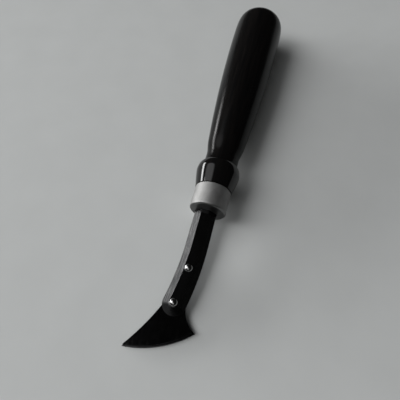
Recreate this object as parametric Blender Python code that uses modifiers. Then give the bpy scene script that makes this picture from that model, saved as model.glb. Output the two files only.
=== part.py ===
"""Leather creaser: a turned handle, a slotted ferrule, a bevel-edged shank and a riveted fan blade.

The tool frame has +Y along the handle towards its butt, +X to the right and +Z up, with its origin at
the centre of the ferrule's front face. The whole tool is then laid on the bench the way it rests, on
the belly of the handle and the dressed edge of the blade. All sizes are in metres.
"""
import math

import bmesh
import bpy
from mathutils import Matrix, Vector

# Driving dimensions
SEAT_GAP = 0.0002             # clearance left between pieces that touch
CUT_CLEARANCE = 0.0010        # how far a cutter reaches past the piece it cuts
WELD = 0.00001                # points closer than this become one

FERRULE_RADIUS = 0.0071
FERRULE_LENGTH = 0.0094
FERRULE_WALL = 0.0008
FERRULE_FRONT_WALL = 0.0010
FERRULE_RIM_ROUND = 0.0009

SPIGOT_FRONT = 0.0016         # station of the handle's front end, inside the ferrule
BEAD_FRONT_RADIUS = 0.0073    # bead where it meets the ferrule, before it swells
BEAD_RADIUS = 0.0087
BEAD_SWELL = 0.0072           # length over which the bead swells
BEAD_TAPER = 1.25             # power of the swelling: 1 is a straight cone, 2 a full curve
BEAD_SHOULDER = 0.0036        # length of its round shoulder down to the waist
WAIST_STATION = 0.0208        # narrowest place, just behind the bead
WAIST_RADIUS = 0.0065
BELLY_STATION = 0.0970        # thickest place of the grip
BELLY_RADIUS = 0.01100
GRIP_FLARE = (0.0242, 0.0030)      # from the waist to its spline handle: along, outwards
GRIP_CREST = 0.0250           # length of the spline handle before the belly
BUTT_STATION = 0.1090         # end of the handle
BUTT_BLUNTNESS = 4.5          # power of the end's rounding: 2 is an ellipse, more is blunter
BORE_RADIUS = 0.0032
BORE_END = 0.0560

SHANK_WIDTH = 0.0084          # at the ferrule
SHANK_NOSE_WIDTH = 0.0088     # the bar widens a little towards its round nose
SHANK_THICKNESS = 0.0034
SHANK_BEVEL = 0.0027          # bevel on both long edges and round the nose
SHANK_REAR = 0.0014           # shoulder station, behind the ferrule's front wall
SHANK_OFFSET = -0.0006        # the bar sits a little to the left of the handle's axis
SHANK_STRAIGHT = 0.0132       # straight length in front of the ferrule
SWEEP_RADIUS = 0.1120         # then it sweeps to the left on this radius
SWEEP_ANGLE = math.radians(11.7)
SHANK_DROP = math.radians(4.2)     # the bar and blade point down from the handle's axis
TANG_WIDTH = 0.0034
TANG_TIP_WIDTH = 0.0022
TANG_END = 0.0520

BLADE_THICKNESS = 0.0022
BLADE_LEFT_TIP = (-0.0172, -0.0539)
BLADE_RIGHT_TIP = (0.0065, -0.0439)
BLADE_ROOT_LEFT = (-0.0050, -0.0318)
BLADE_ROOT_RIGHT = (0.0012, -0.0346)
WORKING_EDGE_RADIUS = 0.0376
LEFT_EDGE_RADIUS = 0.0850
RIGHT_EDGE_RADIUS = 0.0098
TAIL_WIDTH = 0.0062
TAIL_PAST_RIVET = 0.0040      # tail length behind the rear rivet
TAIL_SHOULDER = 0.0040        # the tail's parallel sides start this far behind the front rivet

GUIDE_LIP = 0.0007            # thickness of the long lip that runs along the leather's edge
CREASE_LIP = 0.0007           # thickness of the short lip that presses the line
LIP_SETBACK = 0.0006          # the creasing lip stands this far behind the guide lip
GROOVE_DEPTH = 0.0007         # groove between the lips, measured behind the creasing lip
DRESSED_DEPTH = 0.00005       # the guide lip is dressed flat where it lies on the bench, corners included

REAR_RIVET_STATION = 0.0098   # along the swept part of the shank
RIVET_RADIUS = 0.0011
RIVET_HEAD_RADIUS = 0.0015
RIVET_HEAD_HEIGHT = 0.0009
RIVET_TAIL_RADIUS = 0.0018    # countersunk end, flush with the blade's underside

ROUND_STEPS = 64
RIVET_STEPS = 24
EDGE_STEPS = 20
NOSE_STEPS = 16
DOME_STEPS = 6
BEAD_STEPS = 8
TAIL_STEPS = 8
GROOVE_STEPS = 180


def remove_startup_objects():
    for old in list(bpy.data.objects):
        bpy.data.objects.remove(old, do_unlink=True)


def new_collection(name):
    collection = bpy.data.collections.new(name)
    bpy.context.scene.collection.children.link(collection)
    return collection


remove_startup_objects()
tool_collection = new_collection("leather_creaser")
cutter_collection = new_collection("leather_creaser_cutters")
tool = bpy.data.objects.new("tool_rest", None)
cutter_collection.objects.link(tool)

ALONG_HANDLE = Matrix.Rotation(-math.pi / 2, 4, "X")     # local Z becomes the handle's +Y
BLADE_PLANE = Matrix.Rotation(SHANK_DROP, 4, "X")        # local XY becomes the dropped plane


def material(name, colour, roughness, metallic):
    made = bpy.data.materials.new(name)
    made.use_nodes = True
    shader = made.node_tree.nodes["Principled BSDF"]
    shader.inputs["Base Color"].default_value = (*colour, 1.0)
    shader.inputs["Roughness"].default_value = roughness
    shader.inputs["Metallic"].default_value = metallic
    return made


def place(obj, matrix):
    obj.parent = tool
    obj.matrix_local = matrix
    return obj


def add_piece(name, mesh, matrix, finish):
    obj = bpy.data.objects.new(name, mesh)
    mesh.materials.append(finish)
    tool_collection.objects.link(obj)
    return place(obj, matrix)


def add_cutter(name, mesh, matrix):
    obj = bpy.data.objects.new(name, mesh)
    obj.hide_render = True
    obj.display_type = "WIRE"
    cutter_collection.objects.link(obj)
    return place(obj, matrix)


def boolean(obj, other, operation):
    modifier = obj.modifiers.new(operation.lower() + "_" + other.name, "BOOLEAN")
    modifier.operation = operation
    modifier.solver = "EXACT"
    modifier.object = other


def profile_mesh(name, points, closed=False):
    """Points (radius, station) as a chain of edges in the XZ plane, ready for a Screw modifier."""
    edges = [(k, k + 1) for k in range(len(points) - 1)]
    if closed:
        edges.append((len(points) - 1, 0))
    mesh = bpy.data.meshes.new(name)
    mesh.from_pydata([(radius, 0.0, station) for radius, station in points], edges, [])
    return mesh


def turn(obj, steps):
    screw = obj.modifiers.new("turned", "SCREW")
    screw.axis = "Z"
    screw.steps = steps
    screw.render_steps = steps
    screw.use_merge_vertices = True
    screw.merge_threshold = WELD
    screw.use_smooth_shade = True
    return obj


def arc_points(centre, radius, start, stop, steps):
    """Points on an arc from one angle to another, both ends included."""
    angles = [start + (stop - start) * k / steps for k in range(steps + 1)]
    return [Vector((centre[0] + radius * math.cos(a), centre[1] + radius * math.sin(a))) for a in angles]


def arc_between(start, end, radius, bulge_side, steps):
    """Arc of a given radius between two points; bulge_side +1 bulges to the left of start to end."""
    start, end = Vector(start), Vector(end)
    chord = end - start
    left = Vector((-chord.y, chord.x)).normalized()
    middle = (start + end) / 2
    centre = middle - left * bulge_side * math.sqrt(radius ** 2 - (chord.length / 2) ** 2)
    first = math.atan2(start.y - centre.y, start.x - centre.x)
    turn_angle = 2 * math.asin(chord.length / 2 / radius)
    return arc_points(centre, radius, first, first - bulge_side * turn_angle, steps), centre


def outline_mesh(name, points, thickness):
    """A closed outline as a filled 2D curve of the given thickness, made a welded mesh."""
    curve = bpy.data.curves.new(name, "CURVE")
    curve.dimensions = "2D"
    curve.fill_mode = "BOTH"
    curve.extrude = thickness / 2
    spline = curve.splines.new("POLY")
    spline.points.add(len(points) - 1)
    for point, place_at in zip(spline.points, points):
        point.co = (place_at.x, place_at.y, 0.0, 1.0)
    spline.use_cyclic_u = True
    holder = bpy.data.objects.new(name + "_outline", curve)
    cutter_collection.objects.link(holder)
    evaluated = holder.evaluated_get(bpy.context.evaluated_depsgraph_get())
    mesh = bpy.data.meshes.new_from_object(evaluated)
    mesh.name = name
    bpy.data.objects.remove(holder, do_unlink=True)
    bpy.data.curves.remove(curve)
    welded = bmesh.new()
    welded.from_mesh(mesh)
    bmesh.ops.remove_doubles(welded, verts=welded.verts, dist=WELD)
    bmesh.ops.dissolve_limit(welded, angle_limit=math.radians(0.5), verts=welded.verts, edges=welded.edges)
    bmesh.ops.recalc_face_normals(welded, faces=welded.faces)
    welded.to_mesh(mesh)
    welded.free()
    return mesh


def centreline(distance, offset=0.0):
    """Point on the shank's swept centreline, at a distance along it past the straight, and sideways."""
    angle = distance / SWEEP_RADIUS
    reach = SWEEP_RADIUS + offset
    return Vector((SHANK_OFFSET - SWEEP_RADIUS + reach * math.cos(angle),
                   -SHANK_STRAIGHT - reach * math.sin(angle)))


SWEEP_LENGTH = SWEEP_RADIUS * SWEEP_ANGLE
FRONT_RIVET = centreline(SWEEP_LENGTH)
REAR_RIVET = centreline(REAR_RIVET_STATION)
BLADE_TOP = -SHANK_THICKNESS / 2 - SEAT_GAP              # heights in the dropped plane
BLADE_MIDDLE = BLADE_TOP - BLADE_THICKNESS / 2
BLADE_UNDERSIDE = BLADE_TOP - BLADE_THICKNESS


def grip_profile():
    """Handle outline from the butt to the spigot, as (radius, station) with the stations falling."""
    quarter = [math.pi / 2 * (1 - k / EDGE_STEPS) for k in range(EDGE_STEPS + 1)]
    butt = [(BELLY_RADIUS * math.cos(a) ** (2 / BUTT_BLUNTNESS) if a < math.pi / 2 else 0.0,
             BELLY_STATION + (BUTT_STATION - BELLY_STATION) * math.sin(a) ** (2 / BUTT_BLUNTNESS))
            for a in quarter]
    knots = [(BELLY_RADIUS, BELLY_STATION), (BELLY_RADIUS, BELLY_STATION - GRIP_CREST),
             (WAIST_RADIUS + GRIP_FLARE[1], WAIST_STATION + GRIP_FLARE[0]), (WAIST_RADIUS, WAIST_STATION)]
    grip = []
    for k in range(1, EDGE_STEPS + 1):
        t = k / EDGE_STEPS
        weights = ((1 - t) ** 3, 3 * t * (1 - t) ** 2, 3 * t * t * (1 - t), t ** 3)
        grip.append(tuple(sum(w * knot[axis] for w, knot in zip(weights, knots)) for axis in (0, 1)))
    bead_front = FERRULE_LENGTH + SEAT_GAP
    crest = bead_front + BEAD_SWELL
    bends = [math.pi / 2 * k / BEAD_STEPS for k in range(BEAD_STEPS + 1)]
    bead = [(WAIST_RADIUS + (BEAD_RADIUS - WAIST_RADIUS) * math.sin(a), crest + BEAD_SHOULDER * math.cos(a))
            for a in bends]
    bead += [(BEAD_RADIUS - (BEAD_RADIUS - BEAD_FRONT_RADIUS) * (k / BEAD_STEPS) ** BEAD_TAPER,
              crest - BEAD_SWELL * k / BEAD_STEPS) for k in range(1, BEAD_STEPS + 1)]
    spigot_radius = FERRULE_RADIUS - FERRULE_WALL - SEAT_GAP
    return butt + grip + bead + [(spigot_radius, bead_front), (spigot_radius, SPIGOT_FRONT),
                                 (0.0, SPIGOT_FRONT)]


def make_handle():
    finish = material("handle_black_lacquer", (0.012, 0.012, 0.013), 0.25, 0.0)
    handle = turn(add_piece("handle", profile_mesh("handle", grip_profile()), ALONG_HANDLE, finish),
                  ROUND_STEPS)
    mouth = SPIGOT_FRONT - CUT_CLEARANCE
    bore = [(0.0, BORE_END), (BORE_RADIUS, BORE_END - BORE_RADIUS / 2), (BORE_RADIUS, mouth), (0.0, mouth)]
    cutter = turn(add_cutter("tang_bore", profile_mesh("tang_bore", bore), ALONG_HANDLE), RIVET_STEPS)
    boolean(handle, cutter, "DIFFERENCE")
    return handle


def make_ferrule():
    outer, inner = FERRULE_RADIUS, FERRULE_RADIUS - FERRULE_WALL
    rim = [(outer - FERRULE_RIM_ROUND * (1 - math.cos(a)), FERRULE_RIM_ROUND * (1 - math.sin(a)))
           for a in (math.pi / 2 * k / DOME_STEPS for k in range(DOME_STEPS + 1))]
    cup = [(inner, FERRULE_LENGTH), (outer, FERRULE_LENGTH)] + rim + [(0.0, 0.0)]
    inside = [(0.0, FERRULE_FRONT_WALL), (inner, FERRULE_FRONT_WALL), (inner, FERRULE_LENGTH)]
    finish = material("ferrule_aluminium", (0.62, 0.62, 0.60), 0.35, 1.0)
    ferrule = turn(add_piece("ferrule", profile_mesh("ferrule", cup + inside), ALONG_HANDLE, finish),
                   ROUND_STEPS)
    side, top = SHANK_WIDTH / 2 + SEAT_GAP, SHANK_THICKNESS / 2 + SEAT_GAP
    section = [(-side, -top), (side, -top), (side, top - SHANK_BEVEL), (side - SHANK_BEVEL, top),
               (SHANK_BEVEL - side, top), (-side, top - SHANK_BEVEL)]
    slot = outline_mesh("shank_slot", [Vector(corner) for corner in section],
                        2 * (FERRULE_FRONT_WALL + CUT_CLEARANCE))
    across_bar = Matrix.Translation((SHANK_OFFSET, 0.0, 0.0)) @ Matrix.Rotation(math.pi / 2, 4, "X")
    boolean(ferrule, add_cutter("shank_slot", slot, BLADE_PLANE @ across_bar), "DIFFERENCE")
    return ferrule


def shank_outline():
    """Right side forward, round the nose, and back along the left side."""
    rear, nose = SHANK_WIDTH / 2, SHANK_NOSE_WIDTH / 2
    steps = [SWEEP_LENGTH * k / EDGE_STEPS for k in range(EDGE_STEPS + 1)]
    halves = [rear + (nose - rear) * (SHANK_STRAIGHT + d) / (SHANK_STRAIGHT + SWEEP_LENGTH) for d in steps]
    right = [centreline(d, half) for d, half in zip(steps, halves)]
    left = [centreline(d, -half) for d, half in zip(steps, halves)]
    rounding = arc_points(FRONT_RIVET, nose, -SWEEP_ANGLE, -SWEEP_ANGLE - math.pi, NOSE_STEPS)
    rear_right = [Vector((SHANK_OFFSET + rear, SHANK_REAR)), Vector((SHANK_OFFSET + rear, 0.0))]
    rear_left = [Vector((SHANK_OFFSET - rear, 0.0)), Vector((SHANK_OFFSET - rear, SHANK_REAR))]
    return rear_right + right + rounding[1:-1] + left[::-1] + rear_left


def make_shank():
    finish = material("shank_black_steel", (0.05, 0.05, 0.052), 0.30, 1.0)
    mesh = outline_mesh("shank", shank_outline(), SHANK_THICKNESS)
    weights = mesh.attributes.new("bevel_weight_edge", "FLOAT", "EDGE")
    for edge in mesh.edges:
        ends = [mesh.vertices[v].co for v in edge.vertices]
        on_top = all(co.z > 0 for co in ends)
        at_rear = all(co.y > SHANK_REAR / 2 for co in ends)
        weights.data[edge.index].value = 1.0 if on_top and not at_rear else 0.0
    shank = add_piece("shank", mesh, BLADE_PLANE, finish)
    bevel = shank.modifiers.new("bevelled_edges", "BEVEL")
    bevel.limit_method = "WEIGHT"
    bevel.offset_type = "OFFSET"
    bevel.width = SHANK_BEVEL
    bevel.segments = 1
    bevel.use_clamp_overlap = False

    tang_mesh = bpy.data.meshes.new("tang")
    tang = bmesh.new()
    half_diagonal = math.sqrt(2) / 2
    length = TANG_END - FERRULE_FRONT_WALL - SEAT_GAP
    bmesh.ops.create_cone(tang, cap_ends=True, segments=4, depth=length,
                          radius1=TANG_WIDTH * half_diagonal, radius2=TANG_TIP_WIDTH * half_diagonal)
    bmesh.ops.rotate(tang, verts=tang.verts, matrix=Matrix.Rotation(math.pi / 4, 3, "Z"))
    bmesh.ops.translate(tang, verts=tang.verts, vec=(0.0, 0.0, TANG_END - length / 2))
    tang.to_mesh(tang_mesh)
    tang.free()
    boolean(shank, add_cutter("tang", tang_mesh, ALONG_HANDLE), "UNION")
    return shank


def blade_outline():
    """Left tip to right tip along the working edge, then back to the tail and round it."""
    working, centre = arc_between(BLADE_LEFT_TIP, BLADE_RIGHT_TIP, WORKING_EDGE_RADIUS, -1, EDGE_STEPS)
    right, _ = arc_between(BLADE_RIGHT_TIP, BLADE_ROOT_RIGHT, RIGHT_EDGE_RADIUS, 1, EDGE_STEPS)
    left, _ = arc_between(BLADE_ROOT_LEFT, BLADE_LEFT_TIP, LEFT_EDGE_RADIUS, 1, EDGE_STEPS)
    half = TAIL_WIDTH / 2
    tail_end = REAR_RIVET_STATION - TAIL_PAST_RIVET + half
    tail_start = SWEEP_LENGTH - TAIL_SHOULDER
    distances = [tail_start + (tail_end - tail_start) * k / TAIL_STEPS for k in range(TAIL_STEPS + 1)]
    tail_angle = -tail_end / SWEEP_RADIUS
    rounding = arc_points(centreline(tail_end), half, tail_angle, tail_angle + math.pi, NOSE_STEPS)
    right_tail = [centreline(d, half) for d in distances]
    left_tail = [centreline(d, -half) for d in reversed(distances[1:])]
    return working + right[1:] + right_tail[:-1] + rounding + left_tail[1:] + left[:-1], centre


def make_blade():
    finish = material("blade_black_steel", (0.03, 0.03, 0.032), 0.35, 1.0)
    outline, edge_centre = blade_outline()
    matrix = BLADE_PLANE @ Matrix.Translation((0.0, 0.0, BLADE_MIDDLE))
    blade = add_piece("creasing_blade", outline_mesh("creasing_blade", outline, BLADE_THICKNESS),
                      matrix, finish)
    under = -BLADE_THICKNESS / 2
    crease = WORKING_EDGE_RADIUS - LIP_SETBACK
    clear = WORKING_EDGE_RADIUS + CUT_CLEARANCE
    groove_low = under + GUIDE_LIP
    groove_high = -under - CREASE_LIP
    groove = [(clear, BLADE_THICKNESS), (clear, groove_low), (crease, groove_low),
              (crease - GROOVE_DEPTH, (groove_low + groove_high) / 2), (crease, groove_high),
              (crease, BLADE_THICKNESS)]
    cutter = turn(add_cutter("edge_groove", profile_mesh("edge_groove", groove, closed=True),
                             matrix @ Matrix.Translation((*edge_centre, 0.0))), GROOVE_STEPS)
    boolean(blade, cutter, "DIFFERENCE")
    return blade


def rivet_profile(clearance):
    """Domed head, plain shaft and countersunk end, from the top down; the clearance is for its hole."""
    top = SHANK_THICKNESS / 2 + SEAT_GAP
    dome = (RIVET_HEAD_RADIUS ** 2 + RIVET_HEAD_HEIGHT ** 2) / (2 * RIVET_HEAD_HEIGHT)
    reach = math.asin(RIVET_HEAD_RADIUS / dome)
    head = [(dome * math.sin(reach * k / DOME_STEPS),
             top + RIVET_HEAD_HEIGHT - dome * (1 - math.cos(reach * k / DOME_STEPS)))
            for k in range(DOME_STEPS + 1)]
    shaft = RIVET_RADIUS + clearance
    tail = RIVET_TAIL_RADIUS + clearance
    cone_start = BLADE_UNDERSIDE + (tail - shaft)
    foot = BLADE_UNDERSIDE if clearance == 0 else BLADE_UNDERSIDE - SEAT_GAP
    below = [(shaft, cone_start), (tail, BLADE_UNDERSIDE), (tail, foot), (0.0, foot)]
    if clearance:
        return [(0.0, top + RIVET_HEAD_HEIGHT), (shaft, top + RIVET_HEAD_HEIGHT)] + below
    return head + [(shaft, top)] + below[:2] + below[3:]


def make_rivet(name, centre, shank, blade):
    finish = material(name + "_steel", (0.35, 0.35, 0.35), 0.20, 1.0)
    matrix = BLADE_PLANE @ Matrix.Translation((*centre, 0.0))
    rivet = turn(add_piece(name, profile_mesh(name, rivet_profile(0.0)), matrix, finish), RIVET_STEPS)
    hole_name = name + "_hole"
    hole = turn(add_cutter(hole_name, profile_mesh(hole_name, rivet_profile(SEAT_GAP)), matrix), RIVET_STEPS)
    boolean(shank, hole, "DIFFERENCE")
    boolean(blade, hole, "DIFFERENCE")
    return rivet


def resting_matrix():
    """Lay the tool on the plane through both blade corners and the belly of the handle."""
    foot = BLADE_UNDERSIDE + DRESSED_DEPTH
    corners = [BLADE_PLANE @ Vector((*tip, foot)) for tip in (BLADE_LEFT_TIP, BLADE_RIGHT_TIP)]
    up = Vector((0.0, 0.0, 1.0))
    for _ in range(8):
        across = math.hypot(up.x, up.z)
        radius, station = min(grip_profile(), key=lambda point: point[1] * up.y - point[0] * across)
        belly = Vector((-radius * up.x / across, station, -radius * up.z / across))
        up = (corners[1] - corners[0]).cross(belly - corners[0]).normalized()
    forward = (Vector((0.0, 1.0, 0.0)) - up * up.y).normalized()
    right = forward.cross(up)
    turned = Matrix((right, forward, up)).to_4x4()
    return Matrix.Translation((0.0, 0.0, -(turned @ belly).z)) @ turned


def dress_blade(blade, rest):
    """Take off the curved lip's middle below the bench, so that the blade lies flat from corner to corner."""
    size = 2 * (BLADE_RIGHT_TIP[0] - BLADE_LEFT_TIP[0])
    mesh = bpy.data.meshes.new("bench_cut")
    block = bmesh.new()
    bmesh.ops.create_cube(block, size=size)
    bmesh.ops.translate(block, verts=block.verts, vec=(0.0, BLADE_LEFT_TIP[1], -size / 2))
    block.to_mesh(mesh)
    block.free()
    boolean(blade, add_cutter("bench_cut", mesh, rest.inverted()), "DIFFERENCE")


def centre_on_base(pieces):
    """Shift the tool so that its origin is below the middle of its bounding box."""
    bpy.context.view_layer.update()
    graph = bpy.context.evaluated_depsgraph_get()
    corners = []
    for piece in pieces:
        evaluated = piece.evaluated_get(graph)
        corners += [evaluated.matrix_world @ vertex.co for vertex in evaluated.to_mesh().vertices]
        evaluated.to_mesh_clear()
    middle = [(min(c[axis] for c in corners) + max(c[axis] for c in corners)) / 2 for axis in (0, 1)]
    lowest = min(c.z for c in corners)
    tool.matrix_world = Matrix.Translation((-middle[0], -middle[1], -lowest)) @ tool.matrix_world


handle = make_handle()
ferrule = make_ferrule()
shank = make_shank()
blade = make_blade()
rear_rivet = make_rivet("rear_rivet", REAR_RIVET, shank, blade)
front_rivet = make_rivet("front_rivet", FRONT_RIVET, shank, blade)
rest = resting_matrix()
dress_blade(blade, rest)
tool.matrix_world = rest
centre_on_base([handle, ferrule, shank, blade, rear_rivet, front_rivet])
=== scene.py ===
import math

import bmesh
import bpy
from mathutils import Matrix, Vector
from mathutils.geometry import interpolate_bezier, intersect_line_sphere_2d


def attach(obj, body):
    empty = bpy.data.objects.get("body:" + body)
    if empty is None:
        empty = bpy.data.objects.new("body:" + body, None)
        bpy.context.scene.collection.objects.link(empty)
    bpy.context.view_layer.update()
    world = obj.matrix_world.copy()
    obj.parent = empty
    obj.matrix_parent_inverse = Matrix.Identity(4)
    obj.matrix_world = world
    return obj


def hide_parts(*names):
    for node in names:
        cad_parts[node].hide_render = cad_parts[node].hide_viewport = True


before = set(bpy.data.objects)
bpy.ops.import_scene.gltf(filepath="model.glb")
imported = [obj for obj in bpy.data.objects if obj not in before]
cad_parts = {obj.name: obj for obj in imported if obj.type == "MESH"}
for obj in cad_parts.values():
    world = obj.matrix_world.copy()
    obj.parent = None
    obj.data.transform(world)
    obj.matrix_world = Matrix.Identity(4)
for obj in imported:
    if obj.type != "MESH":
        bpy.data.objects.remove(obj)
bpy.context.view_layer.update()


# Handle: a hardwood grip turned on a lathe, with a bead behind the ferrule and a blunt round butt.
# It is sprayed with black gloss lacquer, which the palm has dulled on the grip.
# Its front end is a spigot for the ferrule, bored for the tang.
lying = (Matrix.Translation((0.003265, -0.027863, 0.008663))
         @ Matrix.Rotation(math.radians(1.508595), 4, "X") @ Matrix.Rotation(math.radians(2.404688), 4, "Y"))
butt_end, belly, taper_end, neck = 0.1090, 0.0970, 0.0319, 0.0250
belly_radius, taper_radius, neck_radius, cove_radius = 0.0110, 0.00775, 0.0067, 0.0073
bead_front, bead_crest, bead_back = 0.0096, 0.0168, 0.0204
bead_radius, bead_front_radius = 0.0087, 0.0073
spigot_front, spigot_radius = 0.0016, 0.0061
tang_bore_radius, tang_bore_end = 0.0032, 0.0560
grip_pulls = (belly_radius, 0.0758), (0.0099, 0.0531)
neck_pulls = (0.00744, 0.0289), (neck_radius, 0.0272)
cove_pulls = (neck_radius, 0.0224), (0.0068, bead_back)
bead_pulls = (0.0086, 0.0154), (0.00788, 0.0120)
blunt, quarter_round = 0.95, 0.5523
wear_start, wear_end = 0.0190, 0.0240
turn_steps, turned_crease, weld = 128, 40, 1e-6
noise_low, noise_high = 0.3, 0.7


def line_to(profile, *points):
    """Carry a turning profile on in straight lines, through points given as (radius, station)."""
    for radius, station in points:
        end = profile.verts.new((radius, station, 0.0))
        profile.verts.ensure_lookup_table()
        if len(profile.verts) > 1:
            profile.edges.new((profile.verts[-2], end))


def curve_to(profile, pull_out, pull_in, end, steps):
    """Carry a turning profile on in one smooth curve to an end point, with a pull at each end of it."""
    profile.verts.ensure_lookup_table()
    knots = [profile.verts[-1].co] + [Vector((*point, 0.0)) for point in (pull_out, pull_in, end)]
    line_to(profile, *[point.xy for point in interpolate_bezier(*knots, steps + 1)[1:]])


def lathe(profile, steps):
    """Turn a profile once round the handle's axis and close it at the axis."""
    bmesh.ops.spin(profile, geom=profile.verts[:] + profile.edges[:], cent=(0, 0, 0), axis=(0, 1, 0),
                   angle=2 * math.pi, steps=steps, use_merge=True)
    bmesh.ops.remove_doubles(profile, verts=profile.verts, dist=weld)
    bmesh.ops.recalc_face_normals(profile, faces=profile.faces)


def set_down(name, shape, finish, crease):
    """Lay a shape that was made in the tool's own frame on the bench, smooth up to the crease angle."""
    shape.transform(lying)
    mesh = bpy.data.meshes.new(name)
    shape.to_mesh(mesh)
    shape.free()
    mesh.shade_smooth()
    mesh.set_sharp_from_angle(angle=math.radians(crease))
    mesh.materials.append(finish)
    piece = bpy.data.objects.new(name, mesh)
    bpy.context.scene.collection.objects.link(piece)
    return piece


def new_finish(name):
    """A finish with its shader, its node maker and its linker, and coordinates in the tool's own frame."""
    finish = bpy.data.materials.new(name)
    finish.use_nodes = True
    nodes, links = finish.node_tree.nodes, finish.node_tree.links
    place = nodes.new("ShaderNodeTexCoord")
    along_tool = nodes.new("ShaderNodeMapping")
    along_tool.vector_type = "TEXTURE"
    along_tool.inputs["Location"].default_value = lying.to_translation()
    along_tool.inputs["Rotation"].default_value = lying.to_euler()
    links.new(place.outputs["Object"], along_tool.inputs["Vector"])
    return finish, nodes["Principled BSDF"], nodes, links, along_tool.outputs["Vector"]


def stretched_noise(nodes, links, place, stretch, detail):
    """Noise whose grains are 1 / stretch metres long in each direction of the tool."""
    spread = nodes.new("ShaderNodeMapping")
    spread.inputs["Scale"].default_value = stretch
    links.new(place, spread.inputs["Vector"])
    noise = nodes.new("ShaderNodeTexNoise")
    noise.inputs["Scale"].default_value = 1.0
    noise.inputs["Detail"].default_value = detail
    links.new(spread.outputs["Vector"], noise.inputs["Vector"])
    return noise.outputs["Fac"]


def between(nodes, links, share, low, high):
    """A number that follows a noise between two values."""
    spread = nodes.new("ShaderNodeMapRange")
    spread.inputs["From Min"].default_value = noise_low
    spread.inputs["From Max"].default_value = noise_high
    spread.inputs["To Min"].default_value = low
    spread.inputs["To Max"].default_value = high
    links.new(share, spread.inputs["Value"])
    return spread.outputs["Result"]


def along(nodes, links, place, start, end, first, last):
    """A number that goes smoothly from a first to a last value between two stations along the tool."""
    station = nodes.new("ShaderNodeSeparateXYZ")
    links.new(place, station.inputs["Vector"])
    change = nodes.new("ShaderNodeMapRange")
    change.interpolation_type = "SMOOTHSTEP"
    for socket, value in (("From Min", start), ("From Max", end), ("To Min", first), ("To Max", last)):
        change.inputs[socket].default_value = value
    links.new(station.outputs["Y"], change.inputs["Value"])
    return change.outputs["Result"]


def shades(nodes, links, share, dark, light):
    """A colour that follows a noise between two shades."""
    ramp = nodes.new("ShaderNodeValToRGB")
    ramp.color_ramp.elements[0].position = noise_low
    ramp.color_ramp.elements[0].color = (*dark, 1.0)
    ramp.color_ramp.elements[1].position = noise_high
    ramp.color_ramp.elements[1].color = (*light, 1.0)
    links.new(share, ramp.inputs["Fac"])
    return ramp.outputs["Color"]


def relief(nodes, links, height, depth, strength):
    """A bump from a height pattern."""
    bump = nodes.new("ShaderNodeBump")
    bump.inputs["Strength"].default_value = strength
    bump.inputs["Distance"].default_value = depth
    links.new(height, bump.inputs["Height"])
    return bump.outputs["Normal"]


def black_lacquer(name, shine):
    """Black lacquer over a fine wood grain, dulled by the palm behind the bead."""
    finish, shader, nodes, links, place = new_finish(name)
    grain = stretched_noise(nodes, links, place, (900, 45, 900), 4)
    links.new(shades(nodes, links, grain, (0.0030, 0.0030, 0.0032), (0.0062, 0.0055, 0.0052)),
              shader.inputs["Base Color"])
    palm_wear = along(nodes, links, place, wear_start, wear_end, 0.07, 0.20)
    handling = stretched_noise(nodes, links, place, (160, 90, 160), 5)
    dulled = nodes.new("ShaderNodeMath")
    dulled.operation = "MULTIPLY"
    links.new(palm_wear, dulled.inputs[0])
    links.new(between(nodes, links, handling, 0.85, 1.15), dulled.inputs[1])
    links.new(dulled.outputs["Value"], shader.inputs["Roughness"])
    orange_peel = stretched_noise(nodes, links, place, (520, 420, 520), 1)
    links.new(relief(nodes, links, orange_peel, 0.00006, 0.10), shader.inputs["Normal"])
    shader.inputs["IOR"].default_value = 1.37
    shader.inputs["Specular IOR Level"].default_value = shine
    return finish


bead_lacquer = black_lacquer("black_gloss_lacquer", 0.62)
grip_lacquer = black_lacquer("palm_worn_lacquer", 0.16)

shape = bmesh.new()
line_to(shape, (0.0, butt_end))
curve_to(shape, (blunt * belly_radius, butt_end), (belly_radius, belly + blunt * (butt_end - belly)),
         (belly_radius, belly), 28)
curve_to(shape, *grip_pulls, (taper_radius, taper_end), 34)
curve_to(shape, *neck_pulls, (neck_radius, neck), 12)
curve_to(shape, *cove_pulls, (cove_radius, bead_back), 12)
curve_to(shape, (cove_radius + quarter_round * (bead_radius - cove_radius), bead_back),
         (bead_radius, bead_crest + quarter_round * (bead_back - bead_crest)), (bead_radius, bead_crest), 14)
curve_to(shape, *bead_pulls, (bead_front_radius, bead_front), 14)
line_to(shape, (spigot_radius, bead_front), (spigot_radius, spigot_front), (tang_bore_radius, spigot_front),
        (tang_bore_radius, tang_bore_end - tang_bore_radius / 2), (0.0, tang_bore_end))
lathe(shape, turn_steps)
for face in shape.faces:
    face.material_index = int(face.calc_center_median().y > bead_back)
handle = set_down("turned_handle", shape, bead_lacquer, turned_crease)
handle.data.materials.append(grip_lacquer)
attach(handle, "root")
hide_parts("handle")


# Ferrule: a short cup turned from aluminium, left with a satin finish, and pressed over the handle's spigot.
# Its front rim is rounded. Its front wall is darker, a painted shade, and has a slot in the shape of the
# bar's section.
ferrule_radius, ferrule_inside, ferrule_length = 0.0071, 0.0063, 0.0094
front_wall, rim_round, back_round = 0.0010, 0.0009, 0.00012
bar_drop = Matrix.Rotation(math.radians(4.2), 4, "X")
bar_offset, bar_half_width, bar_half_height, bar_bevel = -0.0006, 0.0042, 0.0017, 0.0027
seat_gap = 0.0002


def mixed(nodes, links, share, first, second):
    """A colour that goes from a first to a second colour with a share."""
    mix = nodes.new("ShaderNodeMix")
    mix.data_type = "RGBA"
    links.new(share, mix.inputs["Factor"])
    links.new(first, mix.inputs["A"])
    links.new(second, mix.inputs["B"])
    return mix.outputs["Result"]


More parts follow.
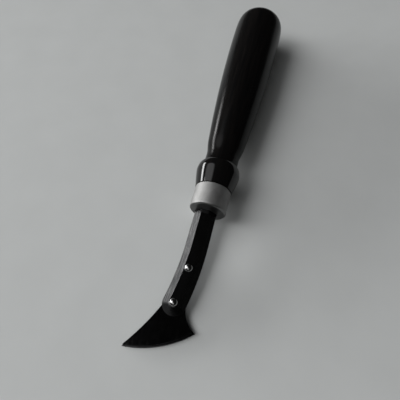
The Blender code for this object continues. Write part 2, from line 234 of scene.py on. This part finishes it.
satin, shader, nodes, links, place = new_finish("satin_aluminium")
shader.inputs["Metallic"].default_value = 1.0
shader.inputs["Specular Tint"].default_value = (0.45, 0.45, 0.46, 1.0)
smudges = stretched_noise(nodes, links, place, (420, 300, 420), 4)
behind_front = along(nodes, links, place, 0.3 * rim_round, rim_round, 0.0, 1.0)
# painted shade: the front wall takes a darker colour than the turned side, standing in for the shade and dark
# reflection on it
front_wall_painted_shade = shades(nodes, links, smudges, (0.155, 0.155, 0.155), (0.215, 0.215, 0.21))
turned = shades(nodes, links, smudges, (0.31, 0.31, 0.305), (0.38, 0.38, 0.375))
links.new(mixed(nodes, links, behind_front, front_wall_painted_shade, turned), shader.inputs["Base Color"])
turning_lines = stretched_noise(nodes, links, place, (0, 5200, 0), 5)
gloss = nodes.new("ShaderNodeMix")
links.new(behind_front, gloss.inputs["Factor"])
gloss.inputs["A"].default_value = 0.30
links.new(between(nodes, links, turning_lines, 0.60, 0.70), gloss.inputs["B"])
links.new(gloss.outputs["Result"], shader.inputs["Roughness"])
links.new(relief(nodes, links, turning_lines, 0.00002, 0.35), shader.inputs["Normal"])


def bar_section(shape, half_width, half_height, station):
    """The bar's section at one station: flat underneath, with a wide bevel on both upper edges."""
    ridge, shoulder = half_width - bar_bevel, half_height - bar_bevel
    corners = [(0, -half_height), (half_width, -half_height), (half_width, shoulder), (ridge, half_height),
               (0, half_height), (-ridge, half_height), (-half_width, shoulder), (-half_width, -half_height)]
    ring = [shape.verts.new((bar_offset + x, station, z)) for x, z in corners]
    return [shape.edges.new((ring[k - 1], ring[k])) for k in range(len(ring))]


def pull(shape, edges, travel):
    """Draw a ring of edges out along the tool, and give its new edges."""
    drawn = bmesh.ops.extrude_edge_only(shape, edges=edges)["geom"]
    bmesh.ops.translate(shape, verts=[part for part in drawn if isinstance(part, bmesh.types.BMVert)],
                        vec=(0.0, travel, 0.0))
    return [part for part in drawn if isinstance(part, bmesh.types.BMEdge)]


def cut_out(piece, cutter):
    """Cut the shape of a cutter out of a piece, and clear the cutter away."""
    mesh = bpy.data.meshes.new("cutter")
    cutter.transform(lying)
    cutter.normal_update()
    bmesh.ops.recalc_face_normals(cutter, faces=cutter.faces)
    cutter.to_mesh(mesh)
    cutter.free()
    tool = bpy.data.objects.new("cutter", mesh)
    bpy.context.scene.collection.objects.link(tool)
    cut = piece.modifiers.new("cut", "BOOLEAN")
    cut.operation = "DIFFERENCE"
    cut.solver = "EXACT"
    cut.object = tool
    whole = piece.data
    finished = piece.evaluated_get(bpy.context.evaluated_depsgraph_get())
    piece.data = bpy.data.meshes.new_from_object(finished)
    piece.modifiers.clear()
    bpy.data.objects.remove(tool)
    bpy.data.meshes.remove(mesh)
    bpy.data.meshes.remove(whole)


def even_shading(piece):
    """Let the flat faces lead the shading, so that narrow rounded edges don't pull it about."""
    weighted = piece.modifiers.new("even_shading", "WEIGHTED_NORMAL")
    weighted.keep_sharp = True


shape = bmesh.new()
line_to(shape, (ferrule_inside, ferrule_length), (ferrule_radius - back_round, ferrule_length),
        (ferrule_radius, ferrule_length - back_round), (ferrule_radius, rim_round))
rim_pull = rim_round * (1 - quarter_round)
curve_to(shape, (ferrule_radius, rim_pull), (ferrule_radius - rim_pull, 0.0),
         (ferrule_radius - rim_round, 0.0), 10)
line_to(shape, (0.0, 0.0), (0.0, front_wall), (ferrule_inside, front_wall), (ferrule_inside, ferrule_length))
lathe(shape, turn_steps)
ferrule = set_down("ferrule_cup", shape, satin, turned_crease)
slot = bmesh.new()
mouth = bar_section(slot, bar_half_width + seat_gap, bar_half_height + seat_gap, -2 * front_wall)
back = pull(slot, mouth, 4 * front_wall)
bmesh.ops.contextual_create(slot, geom=mouth)
bmesh.ops.contextual_create(slot, geom=back)
slot.transform(bar_drop)
cut_out(ferrule, slot)
ferrule.data.set_sharp_from_angle(angle=math.radians(turned_crease))
even_shading(ferrule)
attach(ferrule, "root")
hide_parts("ferrule")


# Shank: a flat steel bar with bevelled edges, bent sideways in its own plane and ground to a round nose.
# It is blackened and polished, and its left bevel is rubbed thin up to the nose, with a painted sheen: a
# lighter colour on its left and front bevel faces. At the nose those faces are painted darker, a painted
# shade.
# Its tang is glued into the handle's bore.
bar_shoulder, bar_straight, bar_nose_half = 0.0014, 0.0132, 0.0044
sweep_radius, sweep_angle = 0.1120, math.radians(11.7)
sweep_centre = Vector((bar_offset - sweep_radius, -bar_straight, 0.0))
tang_end, tang_width, tang_tip = 0.0520, 0.0034, 0.0022
bar_edge_round, bar_crease, sharp_angle = 0.00006, 32, 28
bevel_low, bevel_high, nose_facing = 0.5, 0.9, -0.3
# in front of this station the nose's marked bevel faces are painted darker as shade, behind it they are
# painted lighter as sheen
full_black, black_fade = -0.0371, 0.0014
deep_black = (0.036, 0.036, 0.038), (0.046, 0.046, 0.046)


def where_marked(nodes, links, mark, share):
    """A share that counts only on the faces that carry a mark."""
    marked = nodes.new("ShaderNodeAttribute")
    marked.attribute_name = mark
    both = nodes.new("ShaderNodeMath")
    both.operation = "MULTIPLY"
    links.new(marked.outputs["Fac"], both.inputs[0])
    links.new(share, both.inputs[1])
    return both.outputs["Value"]


def blackened_steel(name, stretch, dark, light):
    """Blackened steel with polishing lines, rubbed thin on worn edges and on marked faces, which get painted
    sheen behind the nose and painted shade at it.
    """
    finish, shader, nodes, links, place = new_finish(name)
    shader.inputs["Metallic"].default_value = 1.0
    shader.inputs["Specular Tint"].default_value = (0.25, 0.25, 0.26, 1.0)
    lines = stretched_noise(nodes, links, place, stretch, 4)
    patches = stretched_noise(nodes, links, place, (500, 300, 500), 3)
    black = shades(nodes, links, lines, dark, light)
    # the blade's black, used on the nose's marked faces as painted shade
    deep = shades(nodes, links, lines, *deep_black)
    # lighter rubbed colour: rubbed wear on worn edges, and a painted sheen on the marked faces behind the
    # nose
    rubbed_and_sheen = shades(nodes, links, lines, (0.090, 0.090, 0.093), (0.130, 0.130, 0.130))
    at_nose = along(nodes, links, place, full_black, full_black + black_fade, 1.0, 0.0)
    nose_painted_shade = where_marked(nodes, links, "rubbed_and_sheen", at_nose)
    behind_nose = along(nodes, links, place, full_black, full_black + black_fade, 0.0, 1.0)
    rubbing_and_sheen = where_marked(nodes, links, "rubbed_and_sheen", behind_nose)
    faces = mixed(nodes, links, rubbing_and_sheen, mixed(nodes, links, nose_painted_shade, black, deep), rubbed_and_sheen)
    edge_wear = where_marked(nodes, links, "worn", between(nodes, links, patches, 0.0, 0.4))
    links.new(mixed(nodes, links, edge_wear, faces, rubbed_and_sheen), shader.inputs["Base Color"])
    gloss = nodes.new("ShaderNodeMix")
    links.new(rubbing_and_sheen, gloss.inputs["Factor"])
    links.new(between(nodes, links, lines, 0.10, 0.15), gloss.inputs["A"])
    links.new(between(nodes, links, lines, 0.22, 0.30), gloss.inputs["B"])
    links.new(gloss.outputs["Result"], shader.inputs["Roughness"])
    links.new(relief(nodes, links, lines, 0.000002, 0.2), shader.inputs["Normal"])
    return finish


bar_steel = blackened_steel("blackened_bar_steel", (2600, 170, 2600), (0.085, 0.085, 0.088),
                            (0.105, 0.105, 0.105))


def on_sweep(distance, offset=0.0):
    """Point of the bar's centreline at a distance past its straight length, and off to one side of it."""
    angle = distance / sweep_radius
    reach = sweep_radius + offset
    return sweep_centre + Vector((reach * math.cos(angle), -reach * math.sin(angle), 0.0))


def round_edges(shape, radius, segments, furthest):
    """Round off the outside edges in front of a station, and mark the rounded faces as worn."""
    worn_faces = shape.faces.layers.float.new("worn")
    edges = [edge for edge in shape.edges
             if edge.is_manifold and edge.is_convex and edge.calc_face_angle() > math.radians(sharp_angle)
             and min(vert.co.y for vert in edge.verts) < furthest]
    rounded = bmesh.ops.bevel(shape, geom=edges, offset=radius, offset_type="OFFSET", segments=segments,
                              profile=0.5, affect="EDGES", clamp_overlap=True, material=-1)["faces"]
    for face in rounded:
        face[worn_faces] = 1.0


shape = bmesh.new()
rear = bar_section(shape, bar_half_width, bar_half_height, bar_shoulder)
ring = pull(shape, rear, -bar_shoulder)
ring = pull(shape, ring, -bar_straight)
swept = bmesh.ops.spin(shape, geom=ring + list({vert for edge in ring for vert in edge.verts}),
                       cent=sweep_centre, axis=(0, 0, -1), angle=sweep_angle, steps=24)["geom_last"]
bar_length = bar_straight + sweep_radius * sweep_angle
for vert in shape.verts:
    from_centre = vert.co - sweep_centre
    from_centre.z = 0.0
    travel, side = -vert.co.y, Vector((1.0, 0.0, 0.0))
    offset = vert.co.x - bar_offset
    if travel > bar_straight:
        travel = bar_straight + sweep_radius * math.atan2(-from_centre.y, from_centre.x)
        side = from_centre.normalized()
        offset = from_centre.length - sweep_radius
    if abs(offset) > weld:
        widening = (bar_nose_half - bar_half_width) * max(0.0, travel) / bar_length
        vert.co += side * math.copysign(widening, offset)
front_rivet_at = on_sweep(sweep_radius * sweep_angle)
across = on_sweep(sweep_radius * sweep_angle, 1.0) - front_rivet_at
right_half = [edge for edge in swept if isinstance(edge, bmesh.types.BMEdge)
              and min((vert.co - front_rivet_at).dot(across) for vert in edge.verts) > -weld]
bmesh.ops.spin(shape, geom=right_half + list({vert for edge in right_half for vert in edge.verts}),
               cent=front_rivet_at, axis=(0, 0, -1), angle=math.pi, steps=32)
bmesh.ops.remove_doubles(shape, verts=shape.verts, dist=weld)
rear = [edge for edge in shape.edges if edge.is_boundary]
tang_start = bar_shoulder + seat_gap
along_handle = bar_drop.inverted() @ Matrix.Translation((0.0, (tang_start + tang_end) / 2, 0.0)) \
    @ Matrix.Rotation(-math.pi / 2, 4, "X") @ Matrix.Rotation(math.pi / 4, 4, "Z")
tang = bmesh.ops.create_cone(shape, cap_ends=True, segments=4, radius1=tang_width * math.sqrt(0.5),
                             radius2=tang_tip * math.sqrt(0.5), depth=tang_end - tang_start,
                             matrix=along_handle)["verts"]
tang_faces = {face for vert in tang for face in vert.link_faces}
tang_root = min(tang_faces, key=lambda face: face.calc_center_median().y)
root_edges = tang_root.edges[:]
bmesh.ops.delete(shape, geom=[tang_root], context="FACES_ONLY")
bmesh.ops.bridge_loops(shape, edges=rear + root_edges)
bmesh.ops.recalc_face_normals(shape, faces=shape.faces)
# marked faces: bevel faces turned left or forward, towards the window, which carry the painted sheen and the
# nose's painted shade
rubbed_and_sheen_faces = shape.faces.layers.float.new("rubbed_and_sheen")
for face in shape.faces:
    at_left_or_nose = face.normal.x < 0 or face.normal.y < nose_facing
    face[rubbed_and_sheen_faces] = float(bevel_low < face.normal.z < bevel_high and at_left_or_nose)
round_edges(shape, bar_edge_round, 3, bar_shoulder - weld)
shape.transform(bar_drop)
shank = set_down("swept_shank", shape, bar_steel, bar_crease)

rivet_radius, rivet_steps, rear_rivet_station = 0.0011, 48, 0.0098
rivet_hole = rivet_radius + seat_gap


def drill(piece, centre, *profile):
    """Drill a hole, whose profile is given from its top down as (radius, height) in the bar."""
    hole = bmesh.new()
    line_to(hole, *profile)
    lathe(hole, rivet_steps)
    hole.transform(bar_drop @ Matrix.Translation(centre) @ Matrix.Rotation(math.pi / 2, 4, "X"))
    cut_out(piece, hole)


rear_rivet_at = on_sweep(rear_rivet_station)
for centre in (rear_rivet_at, front_rivet_at):
    drill(shank, centre, (0.0, 2 * bar_half_height), (rivet_hole, 2 * bar_half_height),
          (rivet_hole, -2 * bar_half_height), (0.0, -2 * bar_half_height))
shank.data.set_sharp_from_angle(angle=math.radians(bar_crease))
even_shading(shank)
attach(shank, "root")
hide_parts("shank")


# Creasing blade: a fan-shaped plate of hardened steel, skewed to the left, blackened like the bar.
# Its working edge is filed into two lips with a groove between them, the lower lip longer as a guide.
# Its tail lies under the bar and is riveted to it, and the guide lip is dressed flat on the bench.
blade_top, blade_under = -0.0019, -0.0041
guide_lip, crease_lip, lip_setback, groove_depth = 0.0007, 0.0007, 0.0006, 0.0007
left_tip, right_tip = Vector((-0.0172, -0.0539)), Vector((0.0065, -0.0439))
left_root, right_root = Vector((-0.0050, -0.0318)), Vector((0.0012, -0.0346))
working_radius, left_radius, right_radius = 0.0376, 0.0850, 0.0098
tail_half, tail_past_rivet, tail_shoulder = 0.0031, 0.0040, 0.0040
blade_edge_round, blade_crease, countersink_radius = 0.00010, 25, 0.0018

blade_steel = blackened_steel("blackened_blade_steel", (2200, 260, 2200), *deep_black)


def arc_centre(start, end, radius, side):
    """Centre of an arc between two points: side 1 bulges to the left on the way, side -1 to the right."""
    chord = end - start
    left = Vector((-chord.y, chord.x)).normalized()
    return (start + end) / 2 - left * side * math.sqrt(radius ** 2 - (chord.length / 2) ** 2)


def sweep_vert(shape, vert, centre, angle, steps):
    """Draw an outline on from its last vertex along an arc, and give the vertex at its end."""
    drawn = bmesh.ops.spin(shape, geom=[vert], cent=(centre.x, centre.y, vert.co.z), axis=(0, 0, 1),
                           angle=angle, steps=steps)["geom_last"]
    return next(part for part in drawn if isinstance(part, bmesh.types.BMVert))


def arc_to(shape, vert, end, radius, side, steps):
    """Draw an outline on along an arc of a given radius to an end point."""
    start = vert.co.xy
    angle = -side * 2 * math.asin((end - start).length / 2 / radius)
    return sweep_vert(shape, vert, arc_centre(start, end, radius, side), angle, steps)


def step_to(shape, vert, end):
    """Draw an outline on in a straight line."""
    corner = shape.verts.new((end.x, end.y, vert.co.z))
    shape.edges.new((vert, corner))
    return corner


shape = bmesh.new()
working_edge = shape.verts.layers.int.new("working_edge")
first = shape.verts.new((*left_tip, blade_under))
vert = arc_to(shape, first, right_tip, working_radius, -1, 40)
for point in shape.verts:
    point[working_edge] = 1
first[working_edge] = vert[working_edge] = 2
edge_centre = arc_centre(left_tip, right_tip, working_radius, -1)
tail_start = sweep_radius * sweep_angle - tail_shoulder
tail_end = rear_rivet_station - tail_past_rivet + tail_half
tail_turn = (tail_start - tail_end) / sweep_radius
outline_start = len(shape.verts)
vert = arc_to(shape, vert, right_root, right_radius, 1, 7)
vert = step_to(shape, vert, on_sweep(tail_start, tail_half))
vert = sweep_vert(shape, vert, sweep_centre, tail_turn, 6)
vert = sweep_vert(shape, vert, on_sweep(tail_end), math.pi, 20)
vert = sweep_vert(shape, vert, sweep_centre, -tail_turn, 6)
vert = step_to(shape, vert, left_root)
vert = arc_to(shape, vert, left_tip, left_radius, 1, 8)
shape.verts.ensure_lookup_table()
for point in shape.verts[outline_start:]:
    point[working_edge] = 0
bmesh.ops.weld_verts(shape, targetmap={vert: first})
plate = bmesh.ops.contextual_create(shape, geom=shape.edges[:])["faces"][0]
tip_sides = {}
for point in plate.verts:
    if point[working_edge] == 2:
        side = next(edge.other_vert(point) for edge in point.link_edges
                    if edge.other_vert(point)[working_edge] == 0)
        tip_sides[point.co.x < 0] = (point.co.xy, side.co.xy)
lip_radius = working_radius - lip_setback
groove_bottom = blade_under + guide_lip
groove_top = blade_top - crease_lip
for height, radius in ((groove_bottom, working_radius), (groove_bottom, lip_radius),
                       ((groove_bottom + groove_top) / 2, lip_radius - groove_depth),
                       (groove_top, lip_radius), (blade_top, lip_radius)):
    raised = bmesh.ops.extrude_face_region(shape, geom=[plate])["geom"]
    if height > groove_bottom or radius < working_radius:
        bmesh.ops.delete(shape, geom=[plate], context="FACES_ONLY")
    plate = next(part for part in raised if isinstance(part, bmesh.types.BMFace))
    for point in plate.verts:
        point.co.z = height
        if point[working_edge] == 1:
            point.co.xy = edge_centre + (point.co.xy - edge_centre).normalized() * radius
        elif point[working_edge] == 2 and radius < working_radius:
            tip, side = tip_sides[point.co.x < 0]
            meets = intersect_line_sphere_2d(tip, side, edge_centre, radius, True)
            point.co.xy = next(meet for meet in meets if meet)
bmesh.ops.remove_doubles(shape, verts=shape.verts, dist=weld)
bmesh.ops.dissolve_degenerate(shape, edges=shape.edges, dist=weld)
bmesh.ops.recalc_face_normals(shape, faces=shape.faces)
round_edges(shape, blade_edge_round, 2, 0.0)
bench = (lying @ bar_drop).inverted()
bench_up = (bench.to_3x3() @ Vector((0, 0, 1))).normalized()
dressed = bmesh.ops.bisect_plane(shape, geom=shape.verts[:] + shape.edges[:] + shape.faces[:], dist=1e-7,
                                 plane_co=bench @ Vector((0, 0, 0)), plane_no=bench_up, clear_inner=True)
bmesh.ops.contextual_create(shape, geom=[part for part in dressed["geom_cut"]
                                         if isinstance(part, bmesh.types.BMEdge)])
bmesh.ops.recalc_face_normals(shape, faces=shape.faces)
shape.transform(bar_drop)
blade = set_down("fan_blade", shape, blade_steel, blade_crease)
for centre in (rear_rivet_at, front_rivet_at):
    drill(blade, centre, (0.0, 0.0), (rivet_hole, 0.0),
          (rivet_hole, blade_under + countersink_radius - rivet_radius),
          (countersink_radius + 2 * seat_gap, blade_under - seat_gap), (0.0, blade_under - seat_gap))
blade.data.set_sharp_from_angle(angle=math.radians(blade_crease))
even_shading(blade)
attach(blade, "root")
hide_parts("creasing_blade")


# Rivets: two steel rivets that hold the blade's tail to the bar, with domed heads polished by handling.
# Each is clenched into a countersink and filed flush with the blade's underside.
head_radius, head_height, skirt = 0.0015, 0.0009, 0.00015

rivet_steel, shader, nodes, links, place = new_finish("polished_rivet_steel")
shader.inputs["Metallic"].default_value = 1.0
rubbing_and_sheen = stretched_noise(nodes, links, place, (1500, 1500, 1500), 4)
links.new(shades(nodes, links, rubbing_and_sheen, (0.26, 0.26, 0.26), (0.32, 0.32, 0.316)), shader.inputs["Base Color"])
links.new(between(nodes, links, rubbing_and_sheen, 0.13, 0.18), shader.inputs["Roughness"])
links.new(relief(nodes, links, rubbing_and_sheen, 0.00001, 0.2), shader.inputs["Normal"])

for node, centre in (("rear_rivet", rear_rivet_at), ("front_rivet", front_rivet_at)):
    shape = bmesh.new()
    head_base = bar_half_height + seat_gap
    dome = (head_radius ** 2 + head_height ** 2) / (2 * head_height)
    line_to(shape, (0.0, head_base + head_height))
    shape.verts.ensure_lookup_table()
    bmesh.ops.spin(shape, geom=[shape.verts[0]], cent=(0.0, head_base + head_height - dome, 0.0),
                   axis=(0, 0, -1), angle=math.asin(head_radius / dome), steps=12)
    line_to(shape, (head_radius, head_base - skirt), (rivet_radius, head_base - skirt),
            (rivet_radius, blade_under + countersink_radius - rivet_radius),
            (countersink_radius, blade_under), (0.0, blade_under))
    lathe(shape, rivet_steps)
    shape.transform(bar_drop @ Matrix.Translation(centre) @ Matrix.Rotation(math.pi / 2, 4, "X"))
    rivet = set_down(node + "_dome", shape, rivet_steel, turned_crease)
    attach(rivet, "root")
    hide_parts(node)


# Bench and light: a plain pale bench, a window to the left with a long low one beyond it, a soft fill from
# the front, and a dim room that is paler round the window. The camera looks down on the tool from the blade.
bench_paint, shader, nodes, links, place = new_finish("pale_bench")
mottle = stretched_noise(nodes, links, place, (60, 60, 60), 3)
links.new(shades(nodes, links, mottle, (0.565, 0.580, 0.575), (0.585, 0.600, 0.595)),
          shader.inputs["Base Color"])
shader.inputs["Roughness"].default_value = 0.7
shader.inputs["Specular IOR Level"].default_value = 0.0
shape = bmesh.new()
bmesh.ops.create_grid(shape, x_segments=1, y_segments=1, size=2.0)
floor_mesh = bpy.data.meshes.new("bench_top")
shape.to_mesh(floor_mesh)
shape.free()
floor_mesh.materials.append(bench_paint)
floor = bpy.data.objects.new("bench_top", floor_mesh)
bpy.context.scene.collection.objects.link(floor)

for name, toward, lean, distance, width, height, watts in (
        ("window", (-0.672, -0.180, 0.719), -32, 1.2, 0.44, 1.00, 5.6),
        ("low_window", (-0.975, 0.128, 0.182), 0, 3.6, 3.435, 0.700, 112.0),
        ("room_fill", (-0.276, -0.519, 0.809), 0, 1.0, 1.50, 0.66, 2.2)):
    lamp = bpy.data.lights.new(name, "AREA")
    lamp.shape = "RECTANGLE"
    lamp.size, lamp.size_y = width, height
    lamp.energy = watts
    light = bpy.data.objects.new(name, lamp)
    direction = Vector(toward).normalized()
    light.location = direction * distance
    light.rotation_euler = (direction.to_track_quat("Z", "Y").to_matrix()
                            @ Matrix.Rotation(math.radians(lean), 3, "Z")).to_euler()
    bpy.context.scene.collection.objects.link(light)

room = bpy.data.worlds.new("dim_room")
room.use_nodes = True
nodes, links = room.node_tree.nodes, room.node_tree.links
direction = nodes.new("ShaderNodeTexCoord")
toward_window = nodes.new("ShaderNodeVectorMath")
toward_window.operation = "DOT_PRODUCT"
toward_window.inputs[1].default_value = Vector((-0.62, 0.08, 0.78)).normalized()
links.new(direction.outputs["Generated"], toward_window.inputs[0])
near_window = nodes.new("ShaderNodeMapRange")
near_window.interpolation_type = "SMOOTHSTEP"
for socket, value in (("From Min", 0.90), ("From Max", 0.965), ("To Min", 0.015), ("To Max", 1.45)):
    near_window.inputs[socket].default_value = value
links.new(toward_window.outputs["Value"], near_window.inputs["Value"])
links.new(near_window.outputs["Result"], nodes["Background"].inputs["Strength"])
nodes["Background"].inputs["Color"].default_value = (0.99, 0.99, 1.0, 1.0)
bpy.context.scene.world = room

view = bpy.data.cameras.new("view")
view.sensor_width = 36.0
view.lens = 36.036
view.clip_start = 0.005
camera = bpy.data.objects.new("view", view)
camera.location = (0.028319, -0.095235, 0.143834)
camera.rotation_euler = [math.radians(angle) for angle in (29.5973, 4.0338, 15.0096)]
bpy.context.scene.collection.objects.link(camera)
bpy.context.scene.camera = camera
bpy.context.scene.view_settings.view_transform = "Standard"
